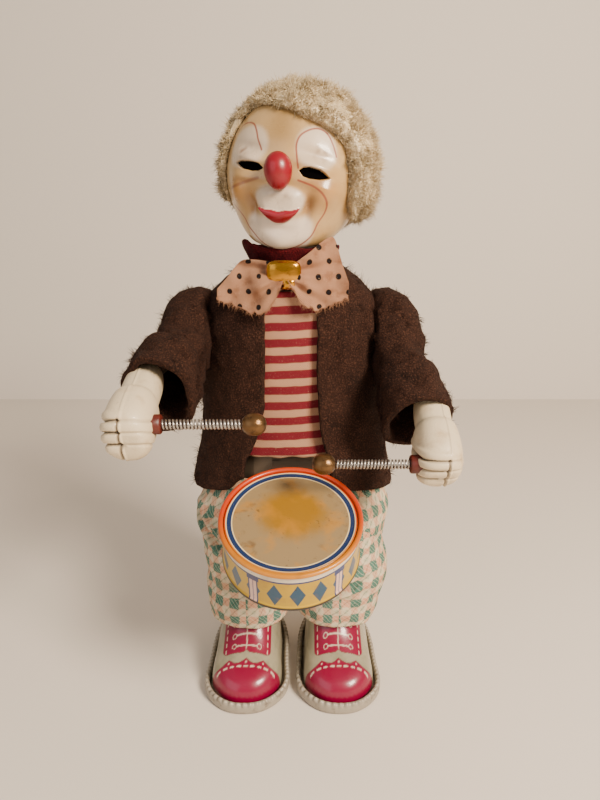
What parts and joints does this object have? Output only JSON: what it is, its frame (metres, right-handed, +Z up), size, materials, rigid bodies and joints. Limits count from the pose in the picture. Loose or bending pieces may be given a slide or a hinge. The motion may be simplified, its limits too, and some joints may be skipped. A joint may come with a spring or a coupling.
{
  "type": "clown drummer automaton",
  "caption": "Clockwork clown toy in felt jacket and plaid trousers that swings its arms, turns its head and beats a small drum with spring drumsticks.",
  "frame": {"origin": "middle of the bounding box's floor rectangle, under the soles", "axes": "+Z up along the toy's height; the clown faces -Y and its right arm is at -X"},
  "size_m": [0.1334, 0.132, 0.2663],
  "materials": {
    "tray_tin": "worn satin",
    "shoe_tin": "gloss litho",
    "bare_tin": "dull tin plate",
    "brass": "satin",
    "steel": "satin",
    "plaid_flannel": "flannel",
    "striped_cotton": "woven",
    "brown_felt": "felt",
    "red_felt": "felt",
    "spotted_cotton": "woven",
    "gilt": "polished",
    "cream_plastic": "moulded",
    "brown_plug": "matt",
    "bead_wood": "varnished",
    "drum_tin": "gloss litho",
    "drum_head_tin": "satin litho",
    "painted_vinyl": "aged gloss",
    "red_gloss": "gloss",
    "cream_plush": "plush",
    "black_card": "matt"
  },
  "bodies": {
    "torso": {"body_base": "bare_tin", "body_shell_back": "bare_tin", "body_shell_front": "bare_tin", "bow_clasp": "gilt", "bow_tie": "spotted_cotton", "bracket_rivet": "steel", "collar": "red_felt", "drum_bottom": "bare_tin", "drum_bracket": "steel", "drum_head": "drum_head_tin", "drum_shell": "drum_tin", "jacket_body": "brown_felt", "leg_tube_left": "bare_tin", "leg_tube_right": "bare_tin", "mainspring": "steel", "movement_plate_front": "brass", "movement_plate_rear": "brass", "neck_bush": "brass", "shirt_front": "striped_cotton", "shoe_upper_left": "shoe_tin", "shoe_upper_right": "shoe_tin", "shoulder_bush_left": "brass", "shoulder_bush_right": "brass", "sole_tray_left": "tray_tin", "sole_tray_right": "tray_tin", "trousers": "plaid_flannel"},
    "arm_right": {"shoulder_shaft_right": "steel", "arm_tube_right": "bare_tin", "hand_right": "cream_plastic", "stick_plug_right": "brown_plug", "sleeve_right": "brown_felt"},
    "arm_left": {"shoulder_shaft_left": "steel", "arm_tube_left": "bare_tin", "hand_left": "cream_plastic", "stick_plug_left": "brown_plug", "sleeve_left": "brown_felt"},
    "stick_right": {"stick_spring_right": "steel", "stick_bead_right": "bead_wood"},
    "stick_left": {"stick_spring_left": "steel", "stick_bead_left": "bead_wood"},
    "rocker": {"rocker_beam": "steel"},
    "head_turn": {"neck_post": "steel", "head": "painted_vinyl", "nose": "red_gloss", "eye_backing": "black_card", "wig": "cream_plush"},
    "key": {"winding_key": "steel", "great_wheel": "brass"},
    "crank": {"crank_wheel": "brass"},
    "governor_spin": {"governor": "brass"}
  },
  "joints": [
    {"name": "arm_right_swing", "type": "hinge", "parent": "torso", "child": "arm_right", "pos_m": [0, 0.0192, 0.17], "axis": [1, 0, 0], "range_deg": [-8, 25]},
    {"name": "arm_left_swing", "type": "hinge", "parent": "torso", "child": "arm_left", "pos_m": [0, 0.0192, 0.17], "axis": [1, 0, 0], "range_deg": [-25, 8]},
    {"name": "rocker_sway", "type": "hinge", "parent": "torso", "child": "rocker", "pos_m": [0, 0.0192, 0.164], "axis": [0, 1, 0], "range_deg": [-13.75, 4.4]},
    {"name": "head_turn_joint", "type": "hinge", "parent": "torso", "child": "head_turn", "pos_m": [0, 0.0192, 0.2005], "axis": [0, 0, 1], "range_deg": [-9.2, 28.75]},
    {"name": "key_wind", "type": "hinge", "parent": "torso", "child": "key", "pos_m": [0, 0.0192, 0.13], "axis": [0, 1, 0], "continuous": true},
    {"name": "crank_spin", "type": "hinge", "parent": "torso", "child": "crank", "pos_m": [0, 0.0192, 0.15], "axis": [0, 1, 0], "continuous": true},
    {"name": "governor_turn", "type": "hinge", "parent": "torso", "child": "governor_spin", "pos_m": [0.016, 0.0192, 0.15], "axis": [0, 1, 0], "continuous": true},
    {"name": "stick_right_flex", "type": "hinge", "parent": "arm_right", "child": "stick_right", "pos_m": [-0.0445, -0.04965, 0.14288], "axis": [0, -0.9304, -0.3665], "range_deg": [-6, 6], "stiffness_Nm_per_rad": 0.035},
    {"name": "stick_left_flex", "type": "hinge", "parent": "arm_left", "child": "stick_left", "pos_m": [0.0445, -0.03871, 0.12393], "axis": [0, -0.7826, -0.6225], "range_deg": [-6, 6], "stiffness_Nm_per_rad": 0.035}
  ],
  "couplings": [
    {"joint": "arm_left_swing", "follows": "arm_right_swing", "ratio": -1},
    {"joint": "rocker_sway", "follows": "arm_right_swing", "ratio": -0.55},
    {"joint": "head_turn_joint", "follows": "arm_right_swing", "ratio": 1.15},
    {"joint": "crank_spin", "follows": "key_wind", "ratio": -4},
    {"joint": "governor_turn", "follows": "key_wind", "ratio": 12}
  ]
}
